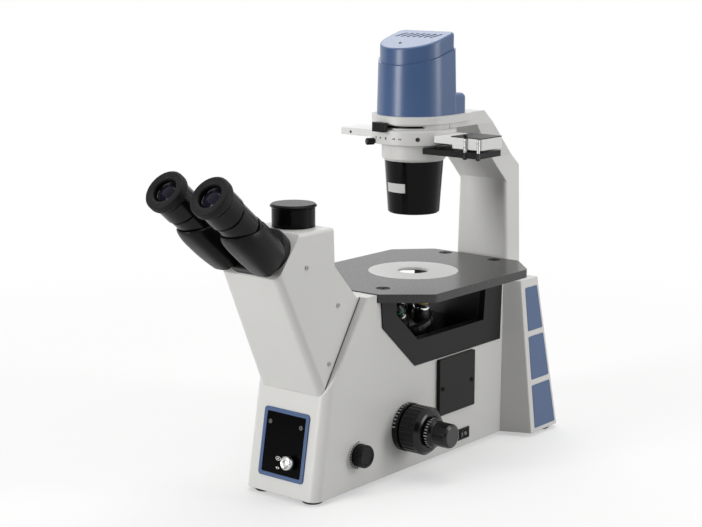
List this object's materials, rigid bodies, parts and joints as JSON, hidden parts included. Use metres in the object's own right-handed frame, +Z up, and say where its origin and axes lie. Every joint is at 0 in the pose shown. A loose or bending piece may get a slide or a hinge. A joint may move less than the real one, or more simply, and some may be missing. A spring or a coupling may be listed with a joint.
{
  "type": "inverted microscope",
  "caption": "Inverted microscope with a fixed stage with cut corners, objectives below it, a lamp arm with a long-distance condenser above and an inclined binocular head.",
  "frame": {"origin": "middle of the bounding box on the table, under the feet", "axes": "+X to the user's right, +Y away from the user towards the lamp arm, +Z up"},
  "size_m": [0.2432, 0.595, 0.5151],
  "materials": {
    "white_paint": "satin paint",
    "white_shell": "satin paint",
    "black_satin": "black satin finish",
    "black_plastic": "fine grain",
    "blue_plastic": "satin",
    "stage_grey": "hard coat",
    "insert_white": "satin",
    "rubber": "matt",
    "steel": "brushed",
    "chrome": "polished",
    "glass": "coated"
  },
  "bodies": {
    "stand": {"base_casting": "white_paint", "base_plate": "steel", "feet": "rubber", "rear_housing": "white_paint", "side_tiles": "blue_plastic", "power_inlet": "black_plastic", "chamber_frame_right": "black_plastic", "chamber_frame_left": "black_plastic", "front_bezel": "blue_plastic", "front_panel": "black_plastic", "access_door": "black_plastic", "switch_frame": "black_plastic", "brightness_dial": "black_plastic", "fixing_screws": "steel", "stage_plate": "stage_grey", "stage_insert": "insert_white", "focus_guide": "black_satin", "mirror_block": "black_satin", "head_housing": "white_shell", "camera_port": "steel", "binocular_base": "black_satin", "illumination_arm": "white_paint", "condenser_holder": "white_paint", "slider_tray": "black_satin", "tray_pins": "steel", "condenser_collar": "white_paint", "condenser_cone": "black_satin", "lenses": "glass", "lamp_housing": "blue_plastic", "lamp_cap": "blue_plastic", "lamp": "black_satin"},
    "coarse_drive": {"coarse_shaft": "steel", "coarse_knob_right": "black_plastic", "coarse_knob_left": "black_plastic"},
    "fine_drive": {"fine_shaft": "steel", "fine_knob_right": "black_plastic", "fine_knob_left": "black_plastic"},
    "tension_ring": {"tension_ring": "black_plastic"},
    "focus_carriage": {"focus_carriage": "black_satin"},
    "nosepiece": {"nosepiece_mount": "black_satin"},
    "turret": {"turret": "black_satin", "objectives": "chrome"},
    "aperture_lever": {"aperture_lever": "black_plastic"},
    "phase_slider": {"phase_slider": "white_paint", "phase_ring": "steel"},
    "clamp_screw": {"clamp_screw": "black_plastic"},
    "arm_right": {"binocular_arm_right": "black_satin"},
    "arm_left": {"binocular_arm_left": "black_satin"},
    "diopter_right": {"diopter_ring_right": "black_satin"},
    "diopter_left": {"diopter_ring_left": "black_satin"},
    "ocular_right": {"eyepiece_right": "black_satin", "eye_lens_right": "glass", "eyecup_right": "rubber"},
    "ocular_left": {"eyepiece_left": "black_satin", "eye_lens_left": "glass", "eyecup_left": "rubber"},
    "brightness_knob": {"brightness_knob": "black_plastic"},
    "power_rocker": {"power_rocker": "black_plastic"},
    "beam_selector": {"beam_selector_rod": "black_plastic"},
    "port_cap": {"camera_port_cap": "black_plastic"}
  },
  "joints": [
    {"name": "coarse_focus", "type": "hinge", "parent": "stand", "child": "coarse_drive", "pos_m": [0, 0.02253, 0.057], "axis": [1, 0, 0], "range_deg": [-16, 69]},
    {"name": "focus_lift", "type": "slide", "parent": "stand", "child": "focus_carriage", "axis": [0, 0, 1], "range_m": [-0.0015, 0.007]},
    {"name": "fine_focus", "type": "hinge", "parent": "stand", "child": "fine_drive", "pos_m": [0, 0.02253, 0.057], "axis": [1, 0, 0], "range_deg": [-730, 730]},
    {"name": "fine_lift", "type": "slide", "parent": "focus_carriage", "child": "nosepiece", "axis": [0, 0, 1], "range_m": [-0.001, 0.001]},
    {"name": "turret_turn", "type": "hinge", "parent": "nosepiece", "child": "turret", "pos_m": [0, 0.07951, 0.1733], "axis": [0, -0.2588, 0.9659], "continuous": true},
    {"name": "tension_turn", "type": "hinge", "parent": "stand", "child": "tension_ring", "pos_m": [0, 0.02253, 0.057], "axis": [1, 0, 0], "range_deg": [-60, 60]},
    {"name": "aperture_swing", "type": "hinge", "parent": "stand", "child": "aperture_lever", "pos_m": [0, 0.10453, 0.405], "axis": [0, 0, 1], "range_deg": [-40, 60]},
    {"name": "phase_slide", "type": "slide", "parent": "stand", "child": "phase_slider", "axis": [1, 0, 0], "range_m": [0, 0.044]},
    {"name": "clamp_turn", "type": "hinge", "parent": "stand", "child": "clamp_screw", "pos_m": [0, 0.10453, 0.3866], "axis": [-0.5, -0.866, 0], "range_deg": [-120, 120]},
    {"name": "arm_right_swing", "type": "hinge", "parent": "stand", "child": "arm_right", "pos_m": [0, -0.16628, 0.29414], "axis": [0, -0.766, 0.6428], "range_deg": [-13.9, 27]},
    {"name": "arm_left_swing", "type": "hinge", "parent": "stand", "child": "arm_left", "pos_m": [0, -0.16628, 0.29414], "axis": [0, -0.766, 0.6428], "range_deg": [-27, 13.9]},
    {"name": "diopter_right_turn", "type": "hinge", "parent": "arm_right", "child": "diopter_right", "pos_m": [0.0325, -0.1783, 0.27981], "axis": [0, -0.766, 0.6428], "range_deg": [-154, 154]},
    {"name": "ocular_right_slide", "type": "slide", "parent": "arm_right", "child": "ocular_right", "axis": [0, -0.766, 0.6428], "range_m": [-0.0024, 0.0024]},
    {"name": "diopter_left_turn", "type": "hinge", "parent": "arm_left", "child": "diopter_left", "pos_m": [-0.0325, -0.1783, 0.27981], "axis": [0, -0.766, 0.6428], "range_deg": [-154, 154]},
    {"name": "ocular_left_slide", "type": "slide", "parent": "arm_left", "child": "ocular_left", "axis": [0, -0.766, 0.6428], "range_m": [-0.0024, 0.0024]},
    {"name": "brightness_turn", "type": "hinge", "parent": "stand", "child": "brightness_knob", "pos_m": [0.054, -0.06947, 0.0445], "axis": [1, 0, 0], "range_deg": [0, 270]},
    {"name": "rocker_tip", "type": "hinge", "parent": "stand", "child": "power_rocker", "pos_m": [0.052, 0.13683, 0.0213], "axis": [0, 0, 1], "range_deg": [-7, 7]},
    {"name": "selector_slide", "type": "slide", "parent": "stand", "child": "beam_selector", "axis": [0, -0.9842, 0.1771], "range_m": [-0.003, 0.01]},
    {"name": "cap_lift", "type": "slide", "parent": "stand", "child": "port_cap", "axis": [0, 0, 1], "range_m": [0, 0.03]}
  ],
  "couplings": [
    {"joint": "coarse_focus", "follows": "focus_lift", "rad_per_m": 166.67},
    {"joint": "fine_focus", "follows": "fine_lift", "rad_per_m": 12500},
    {"joint": "arm_left_swing", "follows": "arm_right_swing", "ratio": -1},
    {"joint": "diopter_right_turn", "follows": "ocular_right_slide", "rad_per_m": 1090},
    {"joint": "diopter_left_turn", "follows": "ocular_left_slide", "rad_per_m": 1090}
  ]
}
